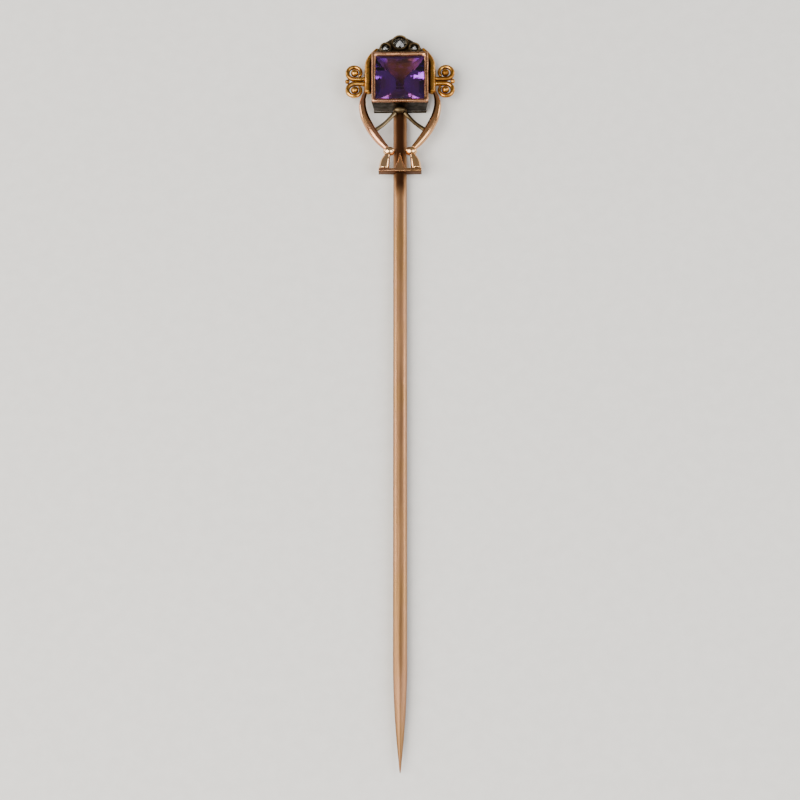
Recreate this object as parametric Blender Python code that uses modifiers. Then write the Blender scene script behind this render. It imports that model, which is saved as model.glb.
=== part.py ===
"""Stick pin (tie pin) with a square step-cut stone, a three-stone crest and a forked mount.

Run it with blender --background --python part.py, or from Blender's text editor.

Frame: metres, +Z up. The pin lies on its back, as on a table. The origin is the centre of the
head's flat back, +Z leaves the stone's table, +Y runs from the pin's point to the crest, and
+X is on the right of someone who looks down at the pin with the crest at the top.

Every piece is what a goldsmith would make and solder or set on its own. Soldered neighbours
keep a thin seam between them, so that each one is a solid of its own.
"""

import math

import bpy

MM = 0.001

# Driving sizes
PIN_LENGTH = 63.0 * MM  # from the crest's top to the point
STONE_SIDE = 4.04 * MM  # the square stone across its girdle
STEM_RADIUS = 0.55 * MM
WIRE_HEIGHT = 1.10 * MM  # the frame wires' centre line above the head's back
CREST_TOP = 4.20 * MM  # the crest's highest point, from the stone's centre
SEAM = 0.015 * MM  # between two soldered pieces

# Square collet, its rim and its back
COLLET_WALL = 0.25 * MM
COLLET_TAPER = 0.21 * MM  # how far each wall leans in from rim to foot
COLLET_TOP_HALF = STONE_SIDE / 2 + 2 * SEAM + COLLET_WALL
COLLET_FOOT_HALF = COLLET_TOP_HALF - COLLET_TAPER
COLLET_TOP = 2.15 * MM
BACK_HALF = COLLET_FOOT_HALF + 0.05 * MM
BACK_THICKNESS = 0.28 * MM
COLLET_FOOT = BACK_THICKNESS + SEAM
RIM_FOOT = COLLET_TOP + SEAM
RIM_HEIGHT = 0.22 * MM
RIM_EDGE = 0.06 * MM  # the worn corner of the rim
RIM_LIP = 0.28 * MM  # the rim's width at its foot

# Square stone: half sides and heights of its tiers
GIRDLE_HALF = STONE_SIDE / 2
GIRDLE_FOOT = 2.02 * MM
GIRDLE_TOP = 2.10 * MM
CROWN_HALF = 1.64 * MM
CROWN_HEIGHT = 2.34 * MM
TABLE_HALF = 1.20 * MM
TABLE_HEIGHT = 2.56 * MM
PAVILION_HALF = 1.62 * MM
PAVILION_HEIGHT = 1.40 * MM
KEEL_HALF = 0.95 * MM
KEEL_HEIGHT = 0.80 * MM
CULET_HEIGHT = 0.42 * MM

# Stem
STEM_TOP = -(COLLET_TOP_HALF - 0.09 * MM)
STEM_POINT = CREST_TOP - PIN_LENGTH
POINT_LENGTH = 9.0 * MM  # the part that is filed to a point
POINT_RADIUS = 0.04 * MM
STEM_SIDES = 16

# Fork: waist beads, feet, dart and saddle plate
BEAD_RADIUS = 0.40 * MM
BEAD_HALF_WIDTH = 0.50 * MM  # the bead is a little wider than it is high
BEAD_X = 0.89 * MM
BEAD_Y = -6.20 * MM
PLATE_TOP = -7.90 * MM
PLATE_THICKNESS = 0.26 * MM
PLATE_HALF_WIDTH = 1.74 * MM
PLATE_BACK = 0.76 * MM
PLATE_FRONT = 1.48 * MM
PLATE_EDGE = 0.05 * MM
DART_FRONT = 1.42 * MM
DART_TIP = -6.38 * MM
DART_TIP_HALF = 0.07 * MM
DART_WAIST_HALF = 0.17 * MM
DART_FOOT_HALF = 0.46 * MM

# Side ornaments
RAIL_X = 2.60 * MM
RAIL_RADIUS = 0.32 * MM
SCROLL_OUTER = 0.77 * MM
SCROLL_WIRE = 0.19 * MM
SCROLL_X = RAIL_X + RAIL_RADIUS + SEAM + SCROLL_OUTER
SCROLL_MIDDLE = 0.22 * MM  # the height between the two scrolls of a side
SCROLL_RISE = SCROLL_OUTER + SEAM
SCROLL_GRAIN = 0.33 * MM
NOTCH_GRAIN = 0.20 * MM

# Crest: a rounded pediment with one large round setting between two small ones
CREST_BACK = 0.95 * MM
CREST_THICKNESS = 0.60 * MM
CREST_FOOT = COLLET_TOP_HALF - 0.05 * MM
CREST_HALF_WIDTH = 1.93 * MM
CENTRE_SETTING = 0.70 * MM
SIDE_SETTING = 0.50 * MM
CENTRE_SETTING_Y = 3.42 * MM
SIDE_SETTING_X = 1.18 * MM
SIDE_SETTING_Y = 2.93 * MM
SETTING_WALL = 0.17 * MM
SETTING_HEIGHT = 0.42 * MM

# Struts under the stone
STRUT_RADIUS = 0.17 * MM
BOSS_HALF_WIDTH = 0.52 * MM
BOSS_HALF_HEIGHT = 0.29 * MM
BOSS_Y = -2.55 * MM

SIDES = (("left", -1), ("right", 1))
ROUND_STEPS = 20


def clear_scene():
    """Removes every object that the file started with."""
    for thing in list(bpy.data.objects):
        bpy.data.objects.remove(thing, do_unlink=True)


def new_collection(name):
    """A collection linked to the scene."""
    collection = bpy.data.collections.new(name)
    bpy.context.scene.collection.children.link(collection)
    return collection


def new_material(name, colour, roughness, metallic):
    """A Principled material of one colour."""
    material = bpy.data.materials.new(name)
    material.use_nodes = True
    shader = material.node_tree.nodes["Principled BSDF"]
    shader.inputs["Base Color"].default_value = (*colour, 1.0)
    shader.inputs["Roughness"].default_value = roughness
    shader.inputs["Metallic"].default_value = metallic
    return material


class Bench:
    """The collections, the parent and the materials that every piece uses."""

    def __init__(self):
        self.parts = new_collection("stick_pin")
        self.cutters = new_collection("cutters")
        self.pin = bpy.data.objects.new("pin_axes", None)
        self.parts.objects.link(self.pin)
        self.rose_gold = new_material("rose_gold", (0.72, 0.42, 0.27), 0.28, 1.0)
        self.yellow_gold = new_material("yellow_gold", (0.78, 0.50, 0.18), 0.30, 1.0)
        self.dark_silver = new_material("dark_silver", (0.20, 0.18, 0.14), 0.42, 1.0)
        self.amethyst = new_material("amethyst", (0.16, 0.05, 0.42), 0.05, 0.0)
        self.diamond = new_material("diamond", (0.80, 0.82, 0.80), 0.05, 0.0)

    def add(self, name, data, material, location=(0, 0, 0)):
        """Puts data in the scene as one named piece of the pin."""
        piece = bpy.data.objects.new(name, data)
        piece.location = location
        piece.parent = self.pin
        data.materials.append(material)
        self.parts.objects.link(piece)
        return piece

    def adopt(self, name, material, smooth=True):
        """Makes the primitive that was just added one named piece of the pin."""
        piece = bpy.context.object
        piece.name = name
        piece.data.materials.append(material)
        for collection in list(piece.users_collection):
            collection.objects.unlink(piece)
        self.parts.objects.link(piece)
        piece.parent = self.pin
        if smooth:
            piece.data.shade_smooth()
        return piece

    def hide(self, tool):
        """Makes the primitive that was just added a cutter or a shape to join."""
        for collection in list(tool.users_collection):
            collection.objects.unlink(tool)
        self.cutters.objects.link(tool)
        tool.hide_render = True
        tool.display_type = "WIRE"
        return tool


def blended(before, start, end, after, share):
    """A Catmull-Rom point between start and end, in every one of their numbers."""
    return tuple(
        0.5 * (2 * b + (c - a) * share + (2 * a - 5 * b + 4 * c - d) * share**2
               + (3 * b - a - 3 * c + d) * share**3)
        for a, b, c, d in zip(before, start, end, after)
    )


def smooth_path(stations, steps):
    """Points along a smooth curve through stations, each of them (x, y, z, radius)."""
    ends = [stations[0], *stations, stations[-1]]
    path = []
    for before, start, end, after in zip(ends, ends[1:], ends[2:], ends[3:]):
        path += [blended(before, start, end, after, step / steps) for step in range(steps)]
    return [*path, stations[-1]]


def add_wire(bench, name, path, material, bevel_resolution=3):
    """A solid round wire along path, whose points are (x, y, z, radius)."""
    thickest = max(radius for *_, radius in path)
    curve = bpy.data.curves.new(name, "CURVE")
    curve.dimensions = "3D"
    curve.bevel_depth = thickest
    curve.bevel_resolution = bevel_resolution
    curve.use_fill_caps = True
    spline = curve.splines.new("POLY")
    spline.points.add(len(path) - 1)
    for point, (x, y, z, radius) in zip(spline.points, path):
        point.co = (x, y, z, 1.0)
        point.radius = radius / thickest
    return bench.add(name, curve, material)


def add_turned(bench, name, profile, material, location=(0, 0, 0), steps=ROUND_STEPS, ring=False):
    """A turned solid about local Z. profile runs down its outer side, as (radius, height).

    A ring's profile closes on itself; any other starts and ends on the axis.
    """
    count = len(profile)
    edges = [(at, at + 1) for at in range(count - 1)]
    if ring:
        edges.append((count - 1, 0))
    mesh = bpy.data.meshes.new(name)
    mesh.from_pydata([(radius, 0.0, height) for radius, height in profile], edges, [])
    piece = bench.add(name, mesh, material, location)
    screw = piece.modifiers.new("turn", "SCREW")
    screw.axis = "Z"
    screw.angle = math.tau
    screw.steps = screw.render_steps = steps
    screw.use_merge_vertices = True
    screw.merge_threshold = 0.000001
    screw.use_smooth_shade = False
    return piece


def add_square(bench, name, profile, material, ring=False):
    """A square solid about the stone's centre. profile is (half side, height), as if turned."""
    corners = [(half * math.sqrt(2), height) for half, height in profile]
    piece = add_turned(bench, name, corners, material, steps=4, ring=ring)
    piece.rotation_euler.z = math.radians(45)
    return piece


def add_grain(bench, name, centre, radius, material):
    """A melted ball of metal."""
    bpy.ops.mesh.primitive_uv_sphere_add(
        segments=14, ring_count=8, radius=radius, location=centre
    )
    return bench.adopt(name, material)


def add_box(low, high):
    """A plain box between two corners, with its scale applied."""
    middle = [(a + b) / 2 for a, b in zip(low, high)]
    bpy.ops.mesh.primitive_cube_add(size=1.0, location=middle)
    box = bpy.context.object
    box.scale = [b - a for a, b in zip(low, high)]
    bpy.ops.object.transform_apply(location=False, rotation=False, scale=True)
    return box


def join_or_cut(piece, tool, operation):
    """A Boolean of piece with tool."""
    boolean = piece.modifiers.new(operation.lower(), "BOOLEAN")
    boolean.operation = operation
    boolean.object = tool
    boolean.solver = "EXACT"


def make_stone_mount(bench):
    """The square collet, its burnished rim, its back plate and the stone."""
    low = (-BACK_HALF, -BACK_HALF, 0)
    high = (BACK_HALF, BACK_HALF, BACK_THICKNESS)
    add_box(low, high)
    bench.adopt("back_plate", bench.rose_gold, smooth=False)
    add_square(
        bench,
        "collet",
        [
            (COLLET_TOP_HALF, COLLET_TOP),
            (COLLET_FOOT_HALF, COLLET_FOOT),
            (COLLET_FOOT_HALF - COLLET_WALL, COLLET_FOOT),
            (COLLET_TOP_HALF - COLLET_WALL, COLLET_TOP),
        ],
        bench.dark_silver,
        ring=True,
    )
    rim_top = RIM_FOOT + RIM_HEIGHT
    add_square(
        bench,
        "bezel_rim",
        [
            (COLLET_TOP_HALF - RIM_EDGE, rim_top),
            (COLLET_TOP_HALF, rim_top - RIM_EDGE),
            (COLLET_TOP_HALF, RIM_FOOT),
            (COLLET_TOP_HALF - RIM_LIP, RIM_FOOT),
            (COLLET_TOP_HALF - RIM_LIP - RIM_EDGE, rim_top - RIM_EDGE),
            (COLLET_TOP_HALF - RIM_LIP, rim_top),
        ],
        bench.rose_gold,
        ring=True,
    )
    add_square(
        bench,
        "amethyst",
        [
            (0, TABLE_HEIGHT),
            (TABLE_HALF, TABLE_HEIGHT),
            (CROWN_HALF, CROWN_HEIGHT),
            (GIRDLE_HALF, GIRDLE_TOP),
            (GIRDLE_HALF, GIRDLE_FOOT),
            (PAVILION_HALF, PAVILION_HEIGHT),
            (KEEL_HALF, KEEL_HEIGHT),
            (0, CULET_HEIGHT),
        ],
        bench.amethyst,
    )


def make_stem(bench):
    """The long gold wire that goes through the cloth, filed to a point."""
    length = STEM_TOP - STEM_POINT
    straight = length - POINT_LENGTH
    profile = [
        (0, length),
        (POINT_RADIUS, length),
        (STEM_RADIUS * 0.36, length - POINT_LENGTH * 0.22),
        (STEM_RADIUS * 0.70, length - POINT_LENGTH * 0.52),
        (STEM_RADIUS * 0.93, length - POINT_LENGTH * 0.80),
        (STEM_RADIUS, straight),
        (STEM_RADIUS, 0),
        (0, 0),
    ]
    stem = add_turned(
        bench, "pin_stem", profile, bench.rose_gold, (0, STEM_TOP, STEM_RADIUS), STEM_SIDES
    )
    stem.rotation_euler.x = math.radians(90)


def arm_stations(side):
    """The arm from under the lower scroll, round the fork and in to the waist bead."""
    return [
        (side * 2.86 * MM, -0.95 * MM, WIRE_HEIGHT, 0.15 * MM),
        (side * 2.98 * MM, -1.30 * MM, WIRE_HEIGHT, 0.20 * MM),
        (side * 3.05 * MM, -1.75 * MM, WIRE_HEIGHT, 0.27 * MM),
        (side * 3.03 * MM, -2.30 * MM, WIRE_HEIGHT, 0.31 * MM),
        (side * 2.82 * MM, -3.15 * MM, WIRE_HEIGHT, 0.35 * MM),
        (side * 2.36 * MM, -4.15 * MM, WIRE_HEIGHT, 0.37 * MM),
        (side * 1.76 * MM, -5.10 * MM, WIRE_HEIGHT, 0.34 * MM),
        (side * 1.18 * MM, -5.78 * MM, WIRE_HEIGHT, 0.28 * MM),
    ]


def foot_path(side):
    """The stout foot that widens under the waist bead, to stand square on the saddle plate."""
    stations = [
        (side * 1.06 * MM, -6.68 * MM, WIRE_HEIGHT, 0.27 * MM),
        (side * 1.13 * MM, -6.86 * MM, WIRE_HEIGHT, 0.36 * MM),
        (side * 1.23 * MM, -7.20 * MM, WIRE_HEIGHT, 0.41 * MM),
        (side * 1.29 * MM, -7.62 * MM, WIRE_HEIGHT, 0.42 * MM),
    ]
    stand = (side * 1.31 * MM, PLATE_TOP + SEAM, WIRE_HEIGHT, 0.42 * MM)
    return [*smooth_path(stations, 2), stand]


def strut_stations(side):
    """The thin strut from the boss under the stone out to the arm."""
    return [
        (side * 0.42 * MM, -2.82 * MM, 1.34 * MM, STRUT_RADIUS),
        (side * 0.82 * MM, -3.28 * MM, 1.28 * MM, STRUT_RADIUS),
        (side * 1.32 * MM, -3.76 * MM, 1.18 * MM, STRUT_RADIUS),
        (side * 1.84 * MM, -4.14 * MM, WIRE_HEIGHT, STRUT_RADIUS),
    ]


def make_fork(bench):
    """Arms, waist beads, feet and struts, once for each side, and the boss between the struts."""
    for word, side in SIDES:
        add_wire(bench, f"{word}_arm", smooth_path(arm_stations(side), 3), bench.rose_gold)
        add_wire(bench, f"{word}_foot", foot_path(side), bench.rose_gold)
        add_wire(
            bench,
            f"{word}_strut",
            smooth_path(strut_stations(side), 2),
            bench.dark_silver,
            bevel_resolution=2,
        )
        centre = (side * BEAD_X, BEAD_Y, WIRE_HEIGHT)
        bead = add_grain(bench, f"{word}_waist_bead", centre, BEAD_RADIUS, bench.rose_gold)
        bead.scale.x = BEAD_HALF_WIDTH / BEAD_RADIUS
    boss_z = 2 * STEM_RADIUS + BOSS_HALF_HEIGHT + SEAM
    boss = add_grain(bench, "strut_boss", (0, BOSS_Y, boss_z), BOSS_HALF_HEIGHT, bench.dark_silver)
    boss.scale.x = BOSS_HALF_WIDTH / BOSS_HALF_HEIGHT


def add_outline(bench, name, corners, bottom, top, material):
    """A flat piece cut to corners, between two heights."""
    outline = bpy.data.curves.new(name, "CURVE")
    outline.dimensions = "2D"
    outline.fill_mode = "BOTH"
    outline.extrude = (top - bottom) / 2
    spline = outline.splines.new("POLY")
    spline.use_cyclic_u = True
    spline.points.add(len(corners) - 1)
    for point, (x, y) in zip(spline.points, corners):
        point.co = (x, y, 0.0, 1.0)
    return bench.add(name, outline, material, (0, 0, (top + bottom) / 2))


def mirrored(half):
    """The closed outline whose right half runs along half, from the bottom up."""
    return half + [(-x, y) for x, y in reversed(half) if x > 0]


def make_collar(bench):
    """The saddle plate that straddles the stem, and the dart that stands on it."""
    stem_clearance = (STEM_RADIUS + 2 * SEAM) / math.cos(math.pi / STEM_SIDES)
    low = (-PLATE_HALF_WIDTH, PLATE_TOP - PLATE_THICKNESS, PLATE_BACK)
    high = (PLATE_HALF_WIDTH, PLATE_TOP, PLATE_FRONT)
    add_box(low, high)
    plate = bench.adopt("saddle_plate", bench.rose_gold, smooth=False)
    edge = plate.modifiers.new("edge", "BEVEL")
    edge.width = PLATE_EDGE
    edge.segments = 2
    bpy.ops.mesh.primitive_cylinder_add(
        vertices=STEM_SIDES,
        radius=stem_clearance,
        depth=4 * PLATE_THICKNESS,
        location=(0, PLATE_TOP - PLATE_THICKNESS / 2, STEM_RADIUS),
        rotation=(math.radians(90), 0, 0),
    )
    join_or_cut(plate, bench.hide(bpy.context.object), "DIFFERENCE")

    foot = PLATE_TOP + SEAM
    waist = (DART_TIP + foot) / 2
    half = [(DART_FOOT_HALF, foot), (DART_WAIST_HALF, waist), (DART_TIP_HALF, DART_TIP)]
    dart_back = 2 * STEM_RADIUS + SEAM
    add_outline(bench, "saddle_dart", mirrored(half), dart_back, DART_FRONT, bench.rose_gold)


def rail_stations(side):
    """The rail beside the collet, bent over at the shoulder towards the crest."""
    return [
        (side * RAIL_X, -0.90 * MM, WIRE_HEIGHT, RAIL_RADIUS),
        (side * RAIL_X, 0.20 * MM, WIRE_HEIGHT, RAIL_RADIUS),
        (side * RAIL_X, 1.20 * MM, WIRE_HEIGHT, RAIL_RADIUS),
        (side * 2.58 * MM, 1.85 * MM, WIRE_HEIGHT, 0.29 * MM),
        (side * 2.48 * MM, 2.30 * MM, WIRE_HEIGHT, 0.24 * MM),
        (side * 2.26 * MM, 2.72 * MM, WIRE_HEIGHT, 0.19 * MM),
        (side * 1.97 * MM, 3.10 * MM, WIRE_HEIGHT, 0.15 * MM),
    ]


def scroll_path(side, up):
    """A scroll that leaves the rail, goes once round its grain and stops short of itself."""
    start, turn, count = math.radians(195), math.radians(318), 20
    radius = SCROLL_OUTER - SCROLL_WIRE
    centre_y = SCROLL_MIDDLE + up * SCROLL_RISE
    path = []
    for step in range(count + 1):
        angle = start + turn * step / count
        x = side * (SCROLL_X + radius * math.cos(angle))
        y = centre_y + up * radius * math.sin(angle)
        path.append((x, y, WIRE_HEIGHT, SCROLL_WIRE))
    return path


def make_side_ornaments(bench):
    """Each side's rail, its two scrolls, a grain in each scroll and one in the notch."""
    notch_reach = SCROLL_OUTER + NOTCH_GRAIN + SEAM
    notch_x = SCROLL_X + math.sqrt(notch_reach**2 - SCROLL_RISE**2)
    for word, side in SIDES:
        rail = smooth_path(rail_stations(side), 2)
        add_wire(bench, f"{word}_side_rail", rail, bench.yellow_gold)
        for level, up in (("upper", 1), ("lower", -1)):
            path = scroll_path(side, up)
            name = f"{word}_{level}"
            add_wire(bench, f"{name}_scroll", path, bench.yellow_gold, bevel_resolution=2)
            eye = (side * SCROLL_X, SCROLL_MIDDLE + up * SCROLL_RISE, WIRE_HEIGHT)
            add_grain(bench, f"{name}_grain", eye, SCROLL_GRAIN, bench.yellow_gold)
        notch = (side * notch_x, SCROLL_MIDDLE, WIRE_HEIGHT)
        add_grain(bench, f"{word}_notch_grain", notch, NOTCH_GRAIN, bench.yellow_gold)


def make_setting(bench, word, x, y, radius):
    """One round setting of the crest with its rose-cut stone."""
    foot = CREST_BACK + CREST_THICKNESS + SEAM
    top = foot + SETTING_HEIGHT
    bore = radius - SETTING_WALL
    add_turned(
        bench,
        f"crest_{word}_setting",
        [
            (radius - SETTING_WALL / 2, top),
            (radius, top - SETTING_WALL),
            (radius, foot),
            (bore, foot),
            (bore, top),
        ],
        bench.dark_silver,
        (x, y, 0),
        ring=True,
    )
    stone = bore - SEAM
    girdle = top - 0.14 * MM
    add_turned(
        bench,
        f"crest_{word}_stone",
        [
            (0, girdle + 0.62 * stone),
            (0.52 * stone, girdle + 0.42 * stone),
            (stone, girdle),
            (stone, girdle - 0.08 * MM),
            (0, girdle - 0.08 * MM),
        ],
        bench.diamond,
        (x, y, 0),
        steps=12,
    )


def make_crest(bench):
    """The crest's pediment and its three settings."""
    edge = [
        (CREST_HALF_WIDTH, 2.75 * MM, 0, 0),
        (1.62 * MM, 3.25 * MM, 0, 0),
        (1.15 * MM, 3.68 * MM, 0, 0),
        (0.62 * MM, 4.03 * MM, 0, 0),
        (0, CREST_TOP, 0, 0),
    ]
    half = [(CREST_HALF_WIDTH, CREST_FOOT)]
    half += [(x, y) for x, y, *_ in smooth_path(edge, 2)]
    front = CREST_BACK + CREST_THICKNESS
    add_outline(bench, "crest_plate", mirrored(half), CREST_BACK, front, bench.dark_silver)
    make_setting(bench, "centre", 0, CENTRE_SETTING_Y, CENTRE_SETTING)
    for word, side in SIDES:
        make_setting(bench, word, side * SIDE_SETTING_X, SIDE_SETTING_Y, SIDE_SETTING)


def main():
    """Builds the whole pin."""
    clear_scene()
    bench = Bench()
    make_stone_mount(bench)
    make_stem(bench)
    make_fork(bench)
    make_collar(bench)
    make_side_ornaments(bench)
    make_crest(bench)


main()
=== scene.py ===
"""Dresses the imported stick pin: fine meshes and finishes for every piece, a studio and a camera.

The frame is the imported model's, in metres: +Z leaves the stone's table, +Y runs from the pin's
point to its crest, and the origin is the centre of the head's flat back. The sizes that the
sub-assemblies hold are in millimetres.
"""

import logging
import math
from collections.abc import Sequence
from dataclasses import dataclass
from enum import Enum, auto
from typing import ClassVar

import bmesh
import bpy
from mathutils import Matrix, Vector, noise


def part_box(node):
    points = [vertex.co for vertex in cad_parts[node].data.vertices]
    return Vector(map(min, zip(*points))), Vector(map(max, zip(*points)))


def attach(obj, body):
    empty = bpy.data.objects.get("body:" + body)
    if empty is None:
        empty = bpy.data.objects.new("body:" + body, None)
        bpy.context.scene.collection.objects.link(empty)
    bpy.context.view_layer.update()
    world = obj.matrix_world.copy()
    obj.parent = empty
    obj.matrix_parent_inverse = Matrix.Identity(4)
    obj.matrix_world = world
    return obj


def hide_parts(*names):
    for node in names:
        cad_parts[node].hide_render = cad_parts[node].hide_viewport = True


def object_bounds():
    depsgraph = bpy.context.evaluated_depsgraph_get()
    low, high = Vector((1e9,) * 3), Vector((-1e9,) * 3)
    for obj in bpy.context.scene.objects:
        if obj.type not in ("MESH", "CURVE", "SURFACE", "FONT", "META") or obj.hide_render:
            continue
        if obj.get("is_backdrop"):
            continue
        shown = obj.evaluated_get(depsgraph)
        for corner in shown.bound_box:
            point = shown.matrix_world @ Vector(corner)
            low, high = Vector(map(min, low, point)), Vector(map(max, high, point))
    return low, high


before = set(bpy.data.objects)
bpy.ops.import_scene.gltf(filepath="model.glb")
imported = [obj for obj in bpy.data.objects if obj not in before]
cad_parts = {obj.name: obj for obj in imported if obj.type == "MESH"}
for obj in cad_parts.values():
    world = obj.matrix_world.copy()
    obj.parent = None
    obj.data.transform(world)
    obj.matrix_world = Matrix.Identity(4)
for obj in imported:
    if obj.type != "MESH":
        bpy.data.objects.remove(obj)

log = logging.getLogger("stick_pin")

MM = 0.001
WIRE_HEIGHT = 1.10  # the mount's wires above the head's back, in millimetres
BODY = "root"
WEAR_SEED = 7  # gives every run the same hollows

Colour = tuple[float, float, float]
Socket = bpy.types.NodeSocket
Value = Socket | Colour | float


class Choice(Enum):
    """A named option, whose word stands in the names of pieces."""

    @property
    def word(self) -> str:
        """The option's word in a piece's name."""
        return self.name.lower()


class Side(Choice):
    """The two mirrored halves of the mount, by the sign of their X."""

    LEFT = -1
    RIGHT = 1


class Level(Choice):
    """The two scrolls of one side, by the sign of their turn."""

    UPPER = 1
    LOWER = -1


class Place(Choice):
    """The three settings of the crest."""

    CENTRE = auto()
    LEFT = auto()
    RIGHT = auto()


class Shade(Enum):
    """How a piece's faces are shaded: flat, smooth, or smooth between its sharp edges."""

    FACETED = auto()
    SMOOTH = auto()
    CREASED = auto()


# Shader trees


class Tree:
    """A material's node tree, with one short method for each kind of node that the finishes use."""

    def __init__(self, name: str) -> None:
        """Starts a material called name with only a Principled shader and its output."""
        self.material = bpy.data.materials.new(name)
        self.material.use_nodes = True
        self.nodes = self.material.node_tree.nodes
        self.links = self.material.node_tree.links
        self.shader = self.nodes["Principled BSDF"]
        self.output = self.nodes["Material Output"]
        self.place = self.nodes.new("ShaderNodeTexCoord").outputs["Object"]

    def fill(self, node: bpy.types.Node, inputs: dict[str | int, Value]) -> None:
        """Sets some inputs of a node.

        Args:
            node: the node.
            inputs: another node's output, a colour or a number for each input's name or number.
        """
        for name, value in inputs.items():
            if isinstance(value, Socket):
                self.links.new(value, node.inputs[name])
            else:
                plain = (*value, 1.0) if isinstance(value, tuple) else value
                node.inputs[name].default_value = plain

    def stretched(self, scale: Sequence[float]) -> Socket:
        """Object coordinates multiplied by scale.

        Args:
            scale: one factor for each axis.

        Returns:
            The vector to feed to a texture.
        """
        mapping = self.nodes.new("ShaderNodeMapping")
        mapping.inputs["Scale"].default_value = scale
        self.fill(mapping, {"Vector": self.place})
        return mapping.outputs["Vector"]

    def clouds(
        self, scale: float, detail: float, roughness: float = 0.55, vector: Socket | None = None
    ) -> Socket:
        """A noise texture.

        Args:
            scale: how many patches there are in a metre.
            detail: the number of octaves.
            roughness: how strong the finer octaves are.
            vector: where the noise is read, or None for plain object coordinates.

        Returns:
            The noise's value, from 0 to 1.
        """
        texture = self.nodes.new("ShaderNodeTexNoise")
        self.fill(texture, {
            "Scale": scale, "Detail": detail, "Roughness": roughness,
            "Vector": self.place if vector is None else vector,
        })
        return texture.outputs["Fac"]

    def band(self, source: Socket, low: float, high: float, start: float, end: float) -> Socket:
        """Carries source from the range low to high over to the range start to end, clamped.

        Args:
            source: the value to carry over.
            low: the source value that gives start.
            high: the source value that gives end.
            start: the result at low.
            end: the result at high.

        Returns:
            The carried value.
        """
        mapped = self.nodes.new("ShaderNodeMapRange")
        mapped.interpolation_type = "SMOOTHSTEP"
        self.fill(mapped, {
            "Value": source, "From Min": low, "From Max": high, "To Min": start, "To Max": end,
        })
        return mapped.outputs["Result"]

    def combined(
        self, operation: str, first: Socket, second: Socket | float = 0.0, clamped: bool = True
    ) -> Socket:
        """The result of a math node.

        Args:
            operation: the node's operation, such as ADD or MAXIMUM.
            first: the first value.
            second: the second value, or a number.
            clamped: True to keep the result between 0 and 1.

        Returns:
            The node's result.
        """
        sums = self.nodes.new("ShaderNodeMath")
        sums.operation = operation
        sums.use_clamp = clamped
        self.fill(sums, {0: first, 1: second})
        return sums.outputs["Value"]

    def blend(self, amount: Socket, base: Socket | Colour, over: Colour) -> Socket:
        """One colour laid over another by amount.

        Args:
            amount: 0 for base only, 1 for over only.
            base: the colour below, plain or patterned.
            over: the colour on top.

        Returns:
            The blended colour.
        """
        mix = self.nodes.new("ShaderNodeMix")
        mix.data_type = "RGBA"
        self.fill(mix, {"Factor": amount, "A": base, "B": over})
        return mix.outputs["Result"]

    def axis(self, name: str) -> Socket:
        """The place along X, Y or Z, in metres."""
        split = self.nodes.new("ShaderNodeSeparateXYZ")
        self.fill(split, {"Vector": self.place})
        return split.outputs[name]

    def along(self, name: str, places: tuple[float, float], start: float, end: float) -> Socket:
        """A value that changes between two places along an axis.

        Args:
            name: X, Y or Z.
            places: the two places, in millimetres.
            start: the value at the first place.
            end: the value at the second place.

        Returns:
            The value.
        """
        return self.band(self.axis(name), places[0] * MM, places[1] * MM, start, end)

    def crevices(self, reach: float) -> Socket:
        """How shut in the surface is: 1 deep in a corner, 0 in the open.

        Args:
            reach: how far away a wall still counts, in metres.

        Returns:
            The crevice value.
        """
        hidden = self.nodes.new("ShaderNodeAmbientOcclusion")
        hidden.samples = 8
        hidden.inputs["Distance"].default_value = reach
        return self.band(hidden.outputs["AO"], 0.30, 0.92, 1.0, 0.0)

    def relief(self, height: Socket, strength: float, depth: float) -> None:
        """Gives the shader's surface a fine relief.

        Args:
            height: the relief's height, from 0 to 1.
            strength: how much of it shows.
            depth: its full height in metres.
        """
        bump = self.nodes.new("ShaderNodeBump")
        self.fill(bump, {"Strength": strength, "Distance": depth, "Height": height})
        self.fill(self.shader, {"Normal": bump.outputs["Normal"]})

    def dress(self, inputs: dict[str, Value]) -> bpy.types.Material:
        """Sets the shader's inputs.

        Args:
            inputs: each input's value, by the input's name.

        Returns:
            The finished material.
        """
        self.fill(self.shader, inputs)
        return self.material


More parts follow.
